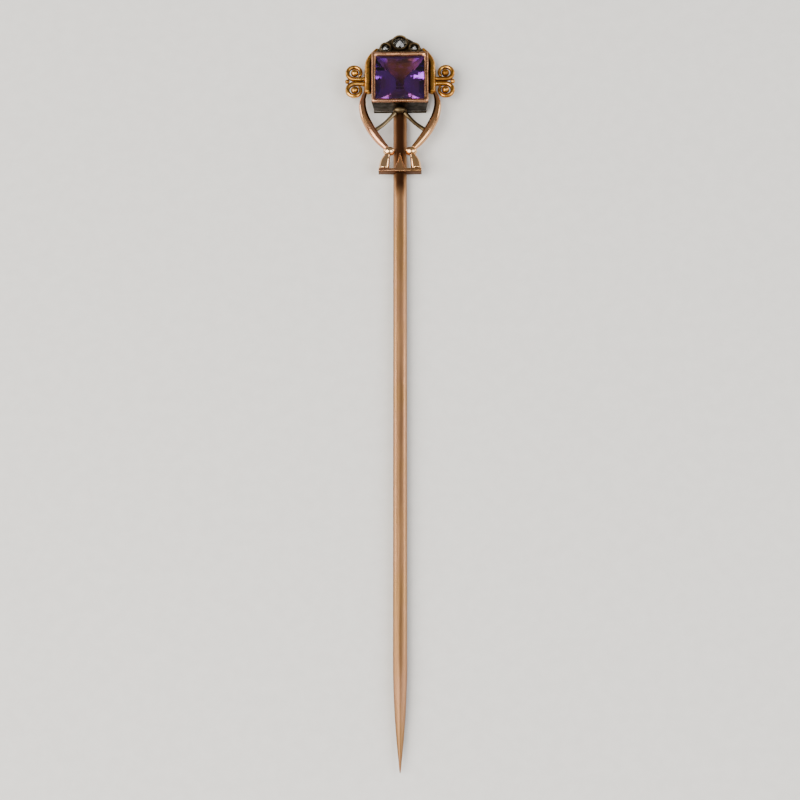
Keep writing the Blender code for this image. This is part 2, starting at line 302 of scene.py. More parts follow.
@dataclass(frozen=True)
class Metal:
    """A worn precious metal: polished where it rubs, darker in its corners from dirt and painted
    shade, darker near the floor as painted shade, lightly scratched.

    Args:
        name: the material's name.
        slot: the material slot that it fills; not used.
        polish: the clean metal's colour.
        warm: the colour of its warmer patches.
        tarnish: the colour of the film on it, which is also the colour of its painted shade.
        roughness: where it is least and most handled.
        mottle: the cloud values between which the film grows.
        grime_and_corner_shade: how dark its corners are, from dirt and painted shade.
        underside_shade: how dark it is next to the floor, as painted shade.
        relief: the depth of its scratches, in millimetres.
        grain: how the scratches are stretched along each axis.
        under_head_shade: where, along Y, the near-black painted shade on its upper face under the
            head begins and is full, darkest as a painted dark reflection along its top.
    """

    name: str
    slot: str
    polish: Colour
    warm: Colour
    tarnish: Colour
    roughness: tuple[float, float]
    mottle: tuple[float, float]
    grime_and_corner_shade: float
    underside_shade: float
    relief: float
    grain: Sequence[float] = (1.0, 0.06, 1.0)
    under_head_shade: tuple[float, float] | None = None

    # Patches of each pattern in a metre, then places and reaches in millimetres
    WARMTH: ClassVar[float] = 240.0
    TARNISH: ClassVar[float] = 620.0
    HANDLING: ClassVar[float] = 2400.0
    DENTS: ClassVar[float] = 1500.0
    SCRATCHES: ClassVar[float] = 9000.0
    CORNER: ClassVar[float] = 0.60
    # Heights over which the painted shade near the floor fades out
    FLOOR_SHADE_RISE: ClassVar[tuple[float, float]] = (0.30, 1.50)
    # Heights over which the painted dark reflection along the stem's top grows
    DARK_REFLECTION_BAND: ClassVar[tuple[float, float]] = (0.90, 1.07)

    def make(self) -> bpy.types.Material:
        """Builds the material.

        Returns:
            The finished material.
        """
        tree = Tree(self.name)
        lengthwise = tree.stretched(self.grain)
        warmth = tree.band(tree.clouds(self.WARMTH, 3.0), 0.35, 0.68, 0.0, 1.0)
        dark = self.darkness(tree)
        clean = tree.blend(warmth, self.polish, self.warm)
        handled = tree.clouds(self.HANDLING, 2.5, 0.6, lengthwise)
        handled = tree.band(handled, 0.30, 0.72, *self.roughness)
        scratches = tree.clouds(self.SCRATCHES, 3.0, 0.6, lengthwise)
        marks = tree.combined("ADD", scratches, tree.clouds(self.DENTS, 2.0))
        tree.relief(marks, 0.30, self.relief * MM)
        return tree.dress({
            "Base Color": tree.blend(dark, clean, self.tarnish),
            "Roughness": tree.combined("ADD", handled, tree.combined("MULTIPLY", dark, 0.28)),
            "Metallic": 1.0,
        })

    def darkness(self, tree: Tree) -> Socket:
        """How dark the surface is: film in patches, dirt and painted shade in corners, painted shade
        near the floor and, on the stem, under the head.

        Args:
            tree: the material's tree.

        Returns:
            The film, from 0 to 1.
        """
        film = tree.band(tree.clouds(self.TARNISH, 3.5, 0.52), *self.mottle, 0.0, 0.75)
        # Dirt and painted shade in corners, from ambient occlusion.
        corners = tree.combined("MULTIPLY", tree.crevices(self.CORNER * MM), self.grime_and_corner_shade)
        # Painted shade: darker towards the floor.
        floor_shade = tree.along("Z", self.FLOOR_SHADE_RISE, self.underside_shade, 0.0)
        dark = tree.combined("MAXIMUM", tree.combined("MAXIMUM", film, corners), floor_shade)
        if self.under_head_shade is not None:
            # Painted shade on the stem under the head, darkest along its top as a painted dark
            # reflection.
            kept = tree.along("Y", self.under_head_shade, 0.0, 1.0)
            top_dark_reflection = tree.along("Z", self.DARK_REFLECTION_BAND, 0.55, 1.0)
            dark = tree.combined("MAXIMUM", dark, tree.combined("MULTIPLY", kept, top_dark_reflection))
        return dark


@dataclass(frozen=True)
class Gem:
    """A clear faceted stone, coloured through its depth.

    Args:
        name: the material's name.
        slot: the material slot that it fills; not used.
        body: the stone's colour.
        zone: the colour of its paler growth zones.
        refraction: its index of refraction.
        table_reflection: the colour of a brownish reflection painted into its upper middle, if it
            has one.
        table_reflection_place: the X and Y of that painted reflection's point, in millimetres.
        table_reflection_width: half the painted reflection's width, in millimetres.
        depth_colour: the colour that its depth lets through, if it is deep.
        depth_density: how much a metre of it absorbs.
    """

    name: str
    slot: str
    body: Colour
    zone: Colour
    refraction: float
    table_reflection: Colour | None = None
    table_reflection_place: tuple[float, float] = (0.0, 0.0)
    table_reflection_width: float = 1.0
    depth_colour: Colour | None = None
    depth_density: float = 0.0

    def make(self) -> bpy.types.Material:
        """Builds the material.

        Returns:
            The finished material.
        """
        tree = Tree(self.name)
        growth = tree.clouds(420.0, 2.0, 0.5, tree.stretched((1.0, 0.35, 1.0)))
        colour = tree.blend(tree.band(growth, 0.38, 0.64, 0.0, 1.0), self.body, self.zone)
        if self.table_reflection is not None:
            # Painted reflection: a brownish zone where the table shows a reflection.
            colour = tree.blend(self.table_reflection_shield(tree), colour, self.table_reflection)
        tree.relief(tree.clouds(1100.0, 3.0), 0.06, 0.004 * MM)
        if self.depth_colour is not None:
            depth = tree.nodes.new("ShaderNodeVolumeAbsorption")
            tree.fill(depth, {"Color": self.depth_colour, "Density": self.depth_density})
            tree.fill(tree.output, {"Volume": depth.outputs["Volume"]})
        return tree.dress({
            "Base Color": colour,
            "Roughness": tree.band(tree.clouds(2600.0, 5.0, 0.7), 0.40, 0.75, 0.035, 0.15),
            "IOR": self.refraction,
            "Transmission Weight": 1.0,
        })

    def table_reflection_shield(self, tree: Tree) -> Socket:
        """The painted brownish reflection: a shield whose point is at table_reflection_place and
        that opens to +Y.

        Args:
            tree: the material's tree.

        Returns:
            The zone's strength, from 0 to 1.
        """
        centre, foot = self.table_reflection_place[0] * MM, self.table_reflection_place[1] * MM
        width = self.table_reflection_width * MM
        across = tree.combined("ADD", tree.axis("X"), -centre, clamped=False)
        spread = tree.combined("ABSOLUTE", across, clamped=False)
        slope = tree.combined("MULTIPLY", spread, -1.05, clamped=False)
        wedge = tree.combined("ADD", slope, tree.axis("Y"), clamped=False)
        inside = tree.band(wedge, foot, foot + 0.45 * MM, 0.0, 0.95)
        narrow = tree.band(spread, width, width + 0.5 * MM, 1.0, 0.25)
        ragged = tree.band(tree.clouds(1500.0, 2.0), 0.32, 0.55, 0.55, 1.0)
        return tree.combined("MULTIPLY", tree.combined("MULTIPLY", inside, narrow), ragged)


@dataclass(frozen=True)
class Paper:
    """The pale matt sheet under the pin, in two shades of its fibres."""

    name: str
    light: Colour
    shade: Colour

    def make(self) -> bpy.types.Material:
        """Builds the material.

        Returns:
            The finished material.
        """
        tree = Tree(self.name)
        fibres = tree.band(tree.clouds(900.0, 5.0, 0.6), 0.30, 0.70, 0.0, 1.0)
        tree.relief(tree.clouds(2400.0, 4.0), 0.12, 0.02 * MM)
        return tree.dress({
            "Base Color": tree.blend(fibres, self.light, self.shade),
            "Roughness": 0.92,
            "Specular IOR Level": 0.15,
        })


ROSE_GOLD = Metal(
    "rose_gold", "rose_gold", (0.73, 0.35, 0.20), (0.67, 0.35, 0.145), (0.13, 0.05, 0.022),
    (0.13, 0.27), (0.62, 0.88), 0.80, 0.85, 0.0008,
)
# The stem's satin gold, with painted shade and a painted dark reflection under the head.
DRAWN_GOLD = Metal(
    "drawn_gold", "rose_gold", (0.72, 0.37, 0.19), (0.68, 0.36, 0.145), (0.050, 0.019, 0.008),
    (0.28, 0.40), (0.66, 0.94), 0.60, 0.80, 0.0008, under_head_shade=(-11.6, -9.0),
)
# Near-black rose gold: painted shade for the saddle plate's front and sides.
SHADED_ROSE_GOLD = Metal(
    "shaded_rose_gold", "rose_gold", (0.15, 0.062, 0.026), (0.12, 0.05, 0.018), (0.05, 0.02, 0.008),
    (0.34, 0.50), (0.50, 0.80), 0.90, 0.70, 0.0020,
)
BURNISHED_GOLD = Metal(
    "burnished_gold", "rose_gold", (0.48, 0.23, 0.13), (0.42, 0.21, 0.095), (0.09, 0.036, 0.016),
    (0.22, 0.34), (0.54, 0.88), 0.90, 0.85, 0.0016, (1.0, 1.0, 1.0),
)
# A lighter, yellower rose gold for the feet and waist beads: real polish, with a painted highlight
# in its lighter colour.
HIGHLIT_RUBBED_GOLD = Metal(
    "highlit_rubbed_gold", "rose_gold", (0.90, 0.56, 0.30), (0.88, 0.50, 0.22), (0.14, 0.055, 0.025),
    (0.10, 0.22), (0.66, 0.92), 0.75, 0.55, 0.0014,
)
YELLOW_GOLD = Metal(
    "yellow_gold", "yellow_gold", (0.72, 0.36, 0.075), (0.60, 0.25, 0.042), (0.10, 0.030, 0.005),
    (0.16, 0.32), (0.42, 0.70), 1.0, 0.75, 0.003, (1.0, 1.0, 1.0),
)
DARK_SILVER = Metal(
    "dark_silver", "dark_silver", (0.21, 0.155, 0.085), (0.12, 0.08, 0.038), (0.018, 0.011, 0.005),
    (0.24, 0.46), (0.40, 0.66), 0.95, 0.30, 0.006, (1.0, 1.0, 1.0),
)
# Dark silver, darkened further as painted shade, for the collet's outer walls and the back plate's
# edge.
SHADED_DARK_SILVER = Metal(
    "shaded_dark_silver", "dark_silver", (0.058, 0.041, 0.018), (0.036, 0.024, 0.010),
    (0.009, 0.006, 0.003), (0.26, 0.48), (0.38, 0.62), 0.95, 0.30, 0.006, (1.0, 1.0, 1.0),
)
BRIGHT_SILVER = Metal(
    "bright_silver", "dark_silver", (0.92, 0.90, 0.86), (0.88, 0.83, 0.76), (0.40, 0.34, 0.28),
    (0.30, 0.48), (0.66, 0.90), 0.10, 0.0, 0.004, (1.0, 1.0, 1.0),
)
# The amethyst carries a brownish reflection painted into its upper middle.
AMETHYST = Gem(
    "amethyst", "amethyst", (0.36, 0.155, 0.74), (0.47, 0.21, 0.78), 1.553,
    (0.26, 0.19, 0.05), (0.05, -0.95), 0.95, (0.56, 0.10, 0.64), 345.0,
)
DIAMOND = Gem(
    "rose_cut_diamond", "rose_cut_diamond", (0.34, 0.31, 0.25), (0.20, 0.175, 0.125), 1.77,
)
PALE_PAPER = Paper("pale_paper", (0.80, 0.785, 0.755), (0.765, 0.75, 0.72))


# Shaping


@dataclass(frozen=True)
class Station:
    """One place along a wire, in millimetres: its centre and its radius there."""

    x: float
    y: float
    z: float
    radius: float

    @property
    def point(self) -> Vector:
        """The centre in metres."""
        return Vector((self.x, self.y, self.z)) * MM


def level_run(*rows: tuple[float, float, float]) -> tuple[Station, ...]:
    """Stations at the height of the mount's wires, from the x, y and radius of each."""
    return tuple(Station(x, y, WIRE_HEIGHT, radius) for x, y, radius in rows)


def on_side(side: Side, stations: Sequence[Station]) -> list[Station]:
    """The right side's stations, moved to one side of the pin."""
    return [Station(s.x * side.value, s.y, s.z, s.radius) for s in stations]


def smooth_run(stations: Sequence[Station], steps: int) -> list[Station]:
    """A smooth run of stations through the given ones.

    Args:
        stations: the places the wire has to pass.
        steps: how many new stations there are for each gap.

    Returns:
        The finer run, which starts and ends where the given one does.
    """
    rows = [(s.x, s.y, s.z, s.radius) for s in stations]
    ends = [rows[0], *rows, rows[-1]]
    run: list[Station] = []
    for before, start, end, after in zip(ends, ends[1:], ends[2:], ends[3:]):
        for step in range(steps):
            t = step / steps
            run.append(Station(*(
                0.5 * (2 * b + (c - a) * t + (2 * a - 5 * b + 4 * c - d) * t**2
                       + (3 * b - a - 3 * c + d) * t**3)
                for a, b, c, d in zip(before, start, end, after)
            )))
    return [*run, stations[-1]]


def rounded_end(run: Sequence[Station], fullness: float) -> list[Station]:
    """Rounds the last end of a run, as a file or a flame leaves it.

    Args:
        run: the wire's stations.
        fullness: the rounding's length in wire radii, 1 for half a ball.

    Returns:
        The run, with its end drawn in to a small flat.
    """
    last = run[-1]
    reach = last.radius * MM * fullness
    kept = [s for s in run if (s.point - last.point).length > reach * 1.05]
    along = (last.point - kept[-1].point).normalized()
    dome: list[Station] = []
    for degrees in (0, 22, 42, 60, 75, 84):
        angle = math.radians(degrees)
        place = (last.point - along * reach * (1 - math.sin(angle))) / MM
        dome.append(Station(*place, last.radius * math.cos(angle)))
    return [*kept, *dome]


def rounded_ends(run: Sequence[Station], first: float, last: float) -> list[Station]:
    """Rounds both ends of a run.

    Args:
        run: the wire's stations.
        first: the rounding of the first end, in wire radii.
        last: the rounding of the last end, in wire radii.

    Returns:
        The rounded run.
    """
    return rounded_end(rounded_end(run, last)[::-1], first)[::-1]


class Form:
    def __init__(self) -> None:
        """Starts an empty form."""
        self.bm = bmesh.new()

    def rings(self, places: Sequence[Matrix], sides: int, closed: bool = False) -> None:
        """Extrudes one regular ring through a row of places.

        Args:
            places: the ring's place, turn and size at each step, for a ring of radius 1.
            sides: the number of sides of the ring.
            closed: True where the last place meets the first one, so that there are no caps.
        """
        made = bmesh.ops.create_circle(self.bm, segments=sides, radius=1.0, matrix=places[0])
        ring = set(made["verts"])
        self.sweep([edge for edge in self.bm.edges if edge.verts[0] in ring], places, closed)

    def sweep(
        self, loop: list[bmesh.types.BMEdge], places: Sequence[Matrix], closed: bool = False
    ) -> None:
        """Extrudes a loop of edges through a row of places.

        Args:
            loop: the edges, which lie at the first place.
            places: the loop's place, turn and size at each step.
            closed: True where the last place meets the first one, so that there are no caps.
        """
        edges = loop
        for before, after in zip(places, places[1:]):
            grown = bmesh.ops.extrude_edge_only(self.bm, edges=edges)["geom"]
            verts = [item for item in grown if isinstance(item, bmesh.types.BMVert)]
            edges = [item for item in grown if isinstance(item, bmesh.types.BMEdge)]
            bmesh.ops.transform(self.bm, matrix=after @ before.inverted(), verts=verts)
        if closed:
            self.weld()
        else:
            bmesh.ops.edgeloop_fill(self.bm, edges=loop)
            bmesh.ops.edgeloop_fill(self.bm, edges=edges)
        self.face_outwards()

    def relief_plate(
        self, outline: Sequence[Vector], centre: Vector, tiers: Sequence[tuple[float, float]]
    ) -> None:
        """Raises an outline into a plate whose border steps inwards.

        Args:
            outline: the plate's closed outline, in metres.
            centre: the middle of the outline.
            tiers: each tier's step in from the outline and its height, in millimetres.
        """
        half_x = max(abs(point.x - centre.x) for point in outline)
        half_y = max(abs(point.y - centre.y) for point in outline)
        verts = [self.bm.verts.new((point.x, point.y, 0.0)) for point in outline]
        loop = [self.bm.edges.new(pair) for pair in zip(verts, [*verts[1:], verts[0]])]
        places = [
            Matrix.Translation((centre.x, centre.y, height * MM))
            @ Matrix.Diagonal((1 - step * MM / half_x, 1 - step * MM / half_y, 1.0, 1.0))
            @ Matrix.Translation((-centre.x, -centre.y, 0))
            for step, height in tiers
        ]
        bmesh.ops.transform(self.bm, matrix=places[0], verts=verts)
        self.sweep(loop, places)

    def wire(self, run: Sequence[Station], sides: int, flatness: float = 1.0) -> None:
        """Draws a solid round wire.

        Args:
            run: the wire's stations.
            sides: the number of sides of its section.
            flatness: its thickness along Z over its width.
        """
        places: list[Matrix] = []
        for index, station in enumerate(run):
            before = run[max(index - 1, 0)].point
            after = run[min(index + 1, len(run) - 1)].point
            along = (after - before).normalized()
            across = along.cross(Vector((0, 0, 1))).normalized()
            up = across.cross(along)
            turn = Matrix((across, up, along)).transposed().to_4x4()
            radius = station.radius * MM
            size = Matrix.Diagonal((radius, radius * flatness, radius, 1.0))
            places.append(Matrix.Translation(station.point) @ turn @ size)
        self.rings(places, sides)

    def square(self, tiers: Sequence[tuple[float, float]], closed: bool = False) -> None:
        """Stacks squares about the stone's centre.

        Args:
            tiers: each tier's half side and height, in millimetres.
            closed: True for an open frame whose last tier meets its first.
        """
        turn = Matrix.Rotation(math.radians(45), 4, "Z")
        places = [
            Matrix.Translation((0, 0, height * MM))
            @ turn
            @ Matrix.Diagonal((half * MM * math.sqrt(2), half * MM * math.sqrt(2), MM, 1.0))
            for half, height in tiers
        ]
        self.rings(places, 4, closed)

    def turned(
        self, profile: Sequence[tuple[float, float]], centre: Vector, axis: Vector, steps: int,
        ring: bool = False,
    ) -> None:
        """Spins a profile once round an axis.

        Args:
            profile: (radius, place along the axis) in millimetres, from centre.
            centre: a point on the axis.
            axis: the axis's direction, square to X.
            steps: how many flats go round.
            ring: True where the profile closes on itself.
        """
        out = Vector((1, 0, 0))
        points = [centre + out * radius * MM + axis * along * MM for radius, along in profile]
        verts = [self.bm.verts.new(point) for point in points]
        pairs = list(zip(verts, verts[1:]))
        if ring:
            pairs.append((verts[-1], verts[0]))
        edges = [self.bm.edges.new(pair) for pair in pairs]
        bmesh.ops.spin(
            self.bm, geom=[*verts, *edges], cent=centre, axis=axis, dvec=(0, 0, 0),
            angle=math.tau, space=Matrix.Identity(4), steps=steps, use_merge=True,
            use_normal_flip=False, use_duplicate=False,
        )
        self.weld()
        self.face_outwards()

    def ball(self, centre: Vector, radii: Sequence[float], around: int) -> None:
        """Adds a ball.

        Args:
            centre: its centre in metres.
            radii: its three radii in metres.
            around: the number of segments round it.
        """
        matrix = Matrix.Translation(centre) @ Matrix.Diagonal((*radii, 1.0))
        bmesh.ops.create_uvsphere(
            self.bm, u_segments=around, v_segments=around // 2, radius=1.0, matrix=matrix
        )

    def grain(self, centre: Vector, radius: float) -> None:
        """Adds one tiny bead of a grained edge, with a few dozen faces.

        Args:
            centre: its centre in metres.
            radius: its radius in metres.
        """
        bmesh.ops.create_icosphere(
            self.bm, subdivisions=2, radius=radius, matrix=Matrix.Translation(centre)
        )

    def block(self, low: Vector, high: Vector) -> None:
        """Adds a box between two corners."""
        matrix = Matrix.Translation((low + high) / 2) @ Matrix.Diagonal((*(high - low), 1.0))
        bmesh.ops.create_cube(self.bm, size=1.0, matrix=matrix)

    def weld(self) -> None:
        """Merges vertices that lie on each other."""
        bmesh.ops.remove_doubles(self.bm, verts=self.bm.verts[:], dist=0.0004 * MM)

    def face_outwards(self) -> None:
        """Turns every face outwards."""
        bmesh.ops.recalc_face_normals(self.bm, faces=self.bm.faces[:])

    def ease_edges(self, width: float, least: float = 30.0, segments: int = 2) -> None:
        """Rounds every edge that is sharper than an angle.

        Args:
            width: the rounding's width in millimetres.
            least: the smallest angle between two faces that counts as an edge, in degrees.
            segments: the number of steps across the rounding.
        """
        sharp = [
            edge for edge in self.bm.edges
            if edge.is_manifold and edge.calc_face_angle(0.0) > math.radians(least)
        ]
        self.bevel(sharp, width, segments)

    def bevel(self, edges: list[bmesh.types.BMEdge], width: float, segments: int) -> None:
        """Rounds some edges.

        Args:
            edges: the edges to round.
            width: the rounding's width in millimetres.
            segments: the number of steps across the rounding.
        """
        bmesh.ops.bevel(
            self.bm, geom=edges, offset=width * MM, offset_type="OFFSET", affect="EDGES",
            segments=segments, profile=0.5, material=-1, clamp_overlap=True,
        )

    def divide(self, longest: float, cuts: int) -> None:
        """Divides long edges.

        Args:
            longest: edges up to this length, in millimetres, stay whole.
            cuts: the number of cuts in each longer edge.
        """
        long_edges = [edge for edge in self.bm.edges if edge.calc_length() > longest * MM]
        bmesh.ops.subdivide_edges(self.bm, edges=long_edges, cuts=cuts, use_grid_fill=True)

    def wear(self, depth: float, pitch: float, seed: float) -> None:
        """Moves the surface a little, as handwork and years do.

        Args:
            depth: the largest movement, in millimetres.
            pitch: the distance between one hollow and the next, in millimetres.
            seed: a number that sets this piece's own pattern.
        """
        shift = Vector((seed, seed * 0.37, seed * 1.71))
        for vert in self.bm.verts:
            at = vert.co / (pitch * MM) + shift
            vert.co += Vector(noise.noise_vector(at)) * depth * MM

    def finish(self, name: str, shade: Shade, *finishes: Metal | Gem) -> None:
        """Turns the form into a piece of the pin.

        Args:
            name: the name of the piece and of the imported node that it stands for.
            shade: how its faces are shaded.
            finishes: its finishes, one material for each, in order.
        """
        mesh = bpy.data.meshes.new(name)
        self.bm.to_mesh(mesh)
        self.bm.free()
        if shade is Shade.FACETED:
            mesh.shade_flat()
        else:
            mesh.shade_smooth()
        if shade is Shade.CREASED:
            mesh.set_sharp_from_angle(angle=math.radians(32))
        for finish in finishes:
            mesh.materials.append(Palette.get(finish))
        piece = put_in_scene(name, mesh)
        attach(piece, BODY)
        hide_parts(name)
        log.info("%s: %d faces", name, len(mesh.polygons))


class Palette:
    """The materials, each made once, on its first use."""

    made: dict[str, bpy.types.Material] = {}

    @classmethod
    def get(cls, finish: Metal | Gem | Paper) -> bpy.types.Material:
        """The material of a finish."""
        if finish.name not in cls.made:
            cls.made[finish.name] = finish.make()
        return cls.made[finish.name]


def put_in_scene(name: str, data: bpy.types.ID) -> bpy.types.Object:
    """Puts a mesh, a light or a camera in the scene as a new object."""
    thing = bpy.data.objects.new(name, data)
    bpy.context.scene.collection.objects.link(thing)
    return thing


def middle(node: str) -> Vector:
    """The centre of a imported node's box."""
    low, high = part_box(node)
    return (low + high) / 2


def half_size(node: str) -> Vector:
    """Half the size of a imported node's box."""
    low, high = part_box(node)
    return (high - low) / 2


def melted_ball(
    name: str, metal: Metal, shares: Sequence[float], wear: tuple[float, float, float],
    around: int = 28, sunk: float = 0.0,
) -> None:
    """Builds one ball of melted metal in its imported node's place.

    Args:
        name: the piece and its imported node.
        metal: its finish.
        shares: its size along each axis, as a share of the node's.
        wear: the depth, pitch and seed of its wear.
        around: the number of segments round it.
        sunk: how far below the node's middle it sits, in millimetres.
    """
    radii = [half * share for half, share in zip(half_size(name), shares)]
    form = Form()
    form.ball(middle(name) - Vector((0, 0, sunk * MM)), radii, around)
    form.wear(*wear)
    form.finish(name, Shade.SMOOTH, metal)


# The pin's sub-assemblies


@dataclass
class Stem:
    """The long drawn wire, filed to a point."""

    point_length: float = 9.0
    tip_radius: float = 0.035
    fullness: float = 0.82
    seat: float = 0.11

    def build(self) -> None:
        """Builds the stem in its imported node's place."""
        low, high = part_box("pin_stem")
        radius = (high.x - low.x) / 2 / MM
        length = (high.y - low.y) / MM + self.seat
        centre = Vector((0, low.y, radius * MM))
        taper = [
            (radius * math.sin(math.pi / 2 * share) ** self.fullness, self.point_length * share)
            for share in (0.10, 0.18, 0.27, 0.37, 0.48, 0.60, 0.72, 0.84, 0.93, 1.0)
        ]
        profile = [
            (0.0, 0.0), (self.tip_radius * 0.7, 0.012), (self.tip_radius, 0.05),
            (self.tip_radius * 2.2, self.point_length * 0.035), *taper,
            *((radius, at) for at in (14.0, 22.0, 32.0, 42.0, 50.0)),
            (radius, length - 0.06), (radius - 0.04, length), (0.0, length),
        ]
        form = Form()
        form.turned(profile, centre, Vector((0, 1, 0)), 48)
        form.finish("pin_stem", Shade.CREASED, DRAWN_GOLD)


@dataclass
class StoneMount:
    """The square collet with its rim, its back and its stone."""

    wall: float = 0.25
    back_lip: float = 0.05
    edge: float = 0.035
    rim_corner: float = 0.16
    tiers: tuple[tuple[float, float], ...] = (
        (1.12, 2.555), (1.38, 2.478), (1.68, 2.362), (1.985, 2.215), (2.015, 2.19), (2.015, 2.05),
        (1.74, 1.73), (1.34, 1.30), (0.86, 0.84), (0.34, 0.44),
    )

    def build(self) -> None:
        """Builds all four pieces."""
        self.build_back()
        self.build_collet()
        self.build_rim()
        self.build_stone()

    def build_back(self) -> None:
        """The gold back plate: dark silver round its edge, darkened further as painted shade, and
        bright inside under the stone.
        """
        low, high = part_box("back_plate")
        form = Form()
        form.block(low, high)
        form.ease_edges(0.05)
        form.divide(0.8, 7)
        inner = high.x - self.wall * MM
        for face in form.bm.faces:
            centre = face.calc_center_median()
            under_stone = face.normal.z > 0.9 and max(abs(centre.x), abs(centre.y)) < inner
            # Edge and ledge: dark silver darkened further as painted shade.
            face.material_index = 2 if under_stone else 1 if face.normal.z > -0.9 else 0
        form.finish("back_plate", Shade.CREASED, ROSE_GOLD, SHADED_DARK_SILVER, BRIGHT_SILVER)

    def build_collet(self) -> None:
        """The four tapered walls, bright inside and dark silver outside, darkened further as painted
        shade.
        """
        low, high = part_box("collet")
        top, foot = high.x / MM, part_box("back_plate")[1].x / MM - self.back_lip
        floor, ledge = low.z / MM, foot + 0.045
        form = Form()
        form.square(
            [
                (top, high.z / MM), (ledge, floor + 0.30), (ledge, floor + 0.24),
                (foot, floor + 0.20), (foot, floor), (foot - self.wall, floor),
                (top - self.wall, high.z / MM), (top, high.z / MM),
            ],
            closed=True,
        )
        for face in form.bm.faces:
            inward = face.normal.xy.dot(face.calc_center_median().xy.normalized())
            # Outer faces: dark silver darkened further as painted shade.
            face.material_index = 1 if inward < -0.5 else 0
        form.ease_edges(self.edge, 20.0)
        form.weld()
        form.divide(0.7, 9)
        form.wear(0.012, 0.9, 3.1)
        form.finish("collet", Shade.CREASED, SHADED_DARK_SILVER, BRIGHT_SILVER)

    def build_rim(self) -> None:
        """The thin gold rim, burnished down over the stone's edge."""
        low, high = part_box("bezel_rim")
        outer, foot, top = high.x / MM, low.z / MM, high.z / MM
        form = Form()
        form.square(
            [
                (outer, foot), (outer, top - 0.085), (outer - 0.025, top - 0.03),
                (outer - 0.09, top), (outer - 0.19, top - 0.01), (outer - 0.29, top - 0.075),
                (outer - 0.345, top - 0.17), (outer - 0.345, foot), (outer, foot),
            ],
            closed=True,
        )
        mitres = [
            edge for edge in form.bm.edges
            if edge.calc_length() < 1.0 * MM
            and min(abs(vert.co.x) for vert in edge.verts) > (outer - 0.2) * MM
        ]
        form.bevel(mitres, self.rim_corner, 3)
        form.divide(1.5, 15)
        form.wear(0.022, 0.75, 7.7)
        form.finish("bezel_rim", Shade.SMOOTH, BURNISHED_GOLD)

    def build_stone(self) -> None:
        """The square step-cut stone."""
        form = Form()
        form.square(self.tiers)
        form.finish("amethyst", Shade.FACETED, AMETHYST)


